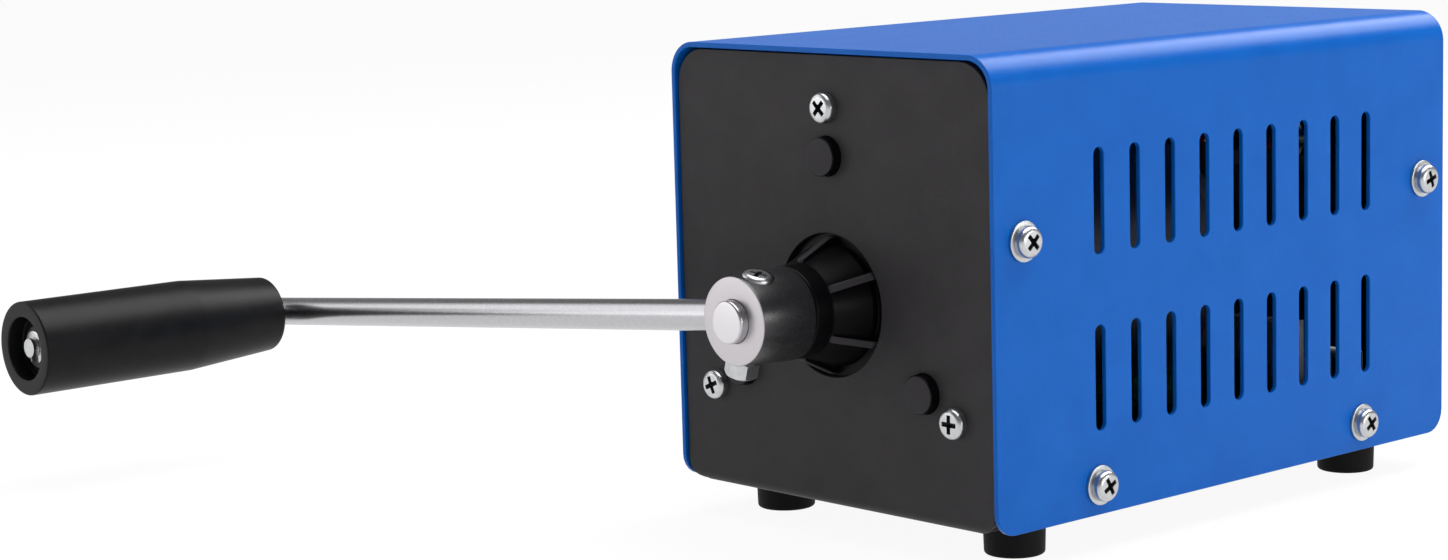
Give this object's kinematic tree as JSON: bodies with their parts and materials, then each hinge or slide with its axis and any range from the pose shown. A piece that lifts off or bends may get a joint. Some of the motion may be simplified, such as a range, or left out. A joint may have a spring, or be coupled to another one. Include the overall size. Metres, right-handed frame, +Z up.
{
  "type": "hand crank generator",
  "caption": "Hand crank generator: a slotted box on rubber feet with a geared generator inside, a long crank with a turning grip in front, and binding posts and sockets behind.",
  "frame": {"origin": "on the surface the feet stand on, under the middle of the whole machine's bounding box, crank and outlets included", "axes": "+Z up, -Y towards the crank's side, +X to the right as seen from the crank"},
  "size_m": [0.2142, 0.2312, 0.093],
  "materials": {
    "cover_paint": "semi-gloss blue powder coat",
    "chassis_paint": "satin black powder coat",
    "zinc": "bright zinc plating",
    "foot_rubber": "moulded",
    "nose_plastic": "moulded, glossy",
    "housing_plastic": "glass-filled",
    "gear_plastic": "natural nylon",
    "steel": "turned",
    "polished_steel": "polished",
    "bronze": "sintered bronze",
    "collar_black": "satin black with a bare turned face",
    "grip_plastic": "satin moulded",
    "motor_alloy": "cast",
    "lamination": "stacked sheets",
    "copper": "enamelled copper",
    "magnet": "nickel plating",
    "board_green": "solder mask",
    "component_black": "moulded",
    "terminal_green": "moulded",
    "wire_sleeve": "insulated wire",
    "red_plastic": "moulded",
    "black_plastic": "moulded",
    "nickel": "nickel plating",
    "lamp_red": "tinted lens"
  },
  "bodies": {
    "housing": {"chassis": "chassis_paint", "cover": "cover_paint", "cover_washers": "zinc", "cover_screws": "zinc", "feet": "foot_rubber", "floor_screws": "zinc", "gearbox_cap": "nose_plastic", "ring_gear": "housing_plastic", "adapter_plate": "motor_alloy", "front_screws": "zinc", "gearbox_screws": "zinc", "generator_screws": "zinc", "shaft_bush": "bronze", "ball_bearings": "steel", "generator_front_bell": "motor_alloy", "generator_can": "steel", "generator_rear_bell": "motor_alloy", "stator_core": "lamination", "stator_coils": "copper", "circuit_board": "board_green", "board_standoffs": "bronze", "capacitor": "component_black", "inductor": "copper", "board_chips": "component_black", "heat_sink": "motor_alloy", "terminal_block": "terminal_green", "inner_wires": "wire_sleeve", "post_bases": "black_plastic", "binding_posts": "nickel", "post_washers": "black_plastic", "post_nuts": "nickel", "dc_socket": "component_black", "dc_pin": "nickel", "usb_shell": "nickel", "usb_insert": "component_black", "indicator_lamp": "lamp_red"},
    "crank": {"crank_shaft": "polished_steel", "crank_collar": "collar_black", "crank_rod": "polished_steel", "crank_bolt": "zinc", "crank_nut": "zinc", "grip_spindle": "zinc", "grip_washer": "housing_plastic", "grip_clip": "zinc", "first_carrier": "steel"},
    "grip": {"grip": "grip_plastic"},
    "second_stage": {"first_sun": "steel", "second_carrier": "steel"},
    "rotor": {"second_sun": "steel", "rotor_shaft": "steel", "rotor_core": "lamination", "rotor_magnets": "magnet"},
    "red_cap": {"red_post_cap": "red_plastic"},
    "black_cap": {"black_post_cap": "black_plastic"},
    "first_planet_1": {"first_planet_1": "gear_plastic"},
    "first_planet_2": {"first_planet_2": "gear_plastic"},
    "first_planet_3": {"first_planet_3": "gear_plastic"},
    "second_planet_1": {"second_planet_1": "gear_plastic"},
    "second_planet_2": {"second_planet_2": "gear_plastic"},
    "second_planet_3": {"second_planet_3": "gear_plastic"}
  },
  "joints": [
    {"name": "crank_spin", "type": "hinge", "parent": "housing", "child": "crank", "pos_m": [0.06205, -0.03628, 0.0451], "axis": [0, -1, 0], "continuous": true},
    {"name": "grip_spin", "type": "hinge", "parent": "crank", "child": "grip", "pos_m": [-0.0973, -0.08528, 0.0306], "axis": [0, -1, 0], "continuous": true},
    {"name": "second_stage_spin", "type": "hinge", "parent": "housing", "child": "second_stage", "pos_m": [0.06205, -0.01528, 0.0451], "axis": [0, -1, 0], "continuous": true},
    {"name": "rotor_spin", "type": "hinge", "parent": "housing", "child": "rotor", "pos_m": [0.06205, 0.02973, 0.0451], "axis": [0, -1, 0], "continuous": true},
    {"name": "first_planet_1_spin", "type": "hinge", "parent": "crank", "child": "first_planet_1", "pos_m": [0.06205, -0.02028, 0.05995], "axis": [0, -1, 0], "continuous": true},
    {"name": "first_planet_2_spin", "type": "hinge", "parent": "crank", "child": "first_planet_2", "pos_m": [0.04919, -0.02028, 0.03768], "axis": [0, -1, 0], "continuous": true},
    {"name": "first_planet_3_spin", "type": "hinge", "parent": "crank", "child": "first_planet_3", "pos_m": [0.07491, -0.02028, 0.03767], "axis": [0, -1, 0], "continuous": true},
    {"name": "second_planet_1_spin", "type": "hinge", "parent": "second_stage", "child": "second_planet_1", "pos_m": [0.06205, -0.00528, 0.05995], "axis": [0, -1, 0], "continuous": true},
    {"name": "second_planet_2_spin", "type": "hinge", "parent": "second_stage", "child": "second_planet_2", "pos_m": [0.04919, -0.00528, 0.03768], "axis": [0, -1, 0], "continuous": true},
    {"name": "second_planet_3_spin", "type": "hinge", "parent": "second_stage", "child": "second_planet_3", "pos_m": [0.07491, -0.00528, 0.03767], "axis": [0, -1, 0], "continuous": true},
    {"name": "red_cap_unscrew", "type": "slide", "parent": "housing", "child": "red_cap", "axis": [0, 1, 0], "range_m": [0, 0.004]},
    {"name": "black_cap_unscrew", "type": "slide", "parent": "housing", "child": "black_cap", "axis": [0, 1, 0], "range_m": [0, 0.004]}
  ],
  "couplings": [
    {"joint": "second_stage_spin", "follows": "crank_spin", "ratio": 5.5},
    {"joint": "rotor_spin", "follows": "crank_spin", "ratio": 30.25},
    {"joint": "first_planet_1_spin", "follows": "crank_spin", "ratio": -2.5714},
    {"joint": "first_planet_2_spin", "follows": "crank_spin", "ratio": -2.5714},
    {"joint": "first_planet_3_spin", "follows": "crank_spin", "ratio": -2.5714},
    {"joint": "second_planet_1_spin", "follows": "crank_spin", "ratio": -14.143},
    {"joint": "second_planet_2_spin", "follows": "crank_spin", "ratio": -14.143},
    {"joint": "second_planet_3_spin", "follows": "crank_spin", "ratio": -14.143}
  ]
}
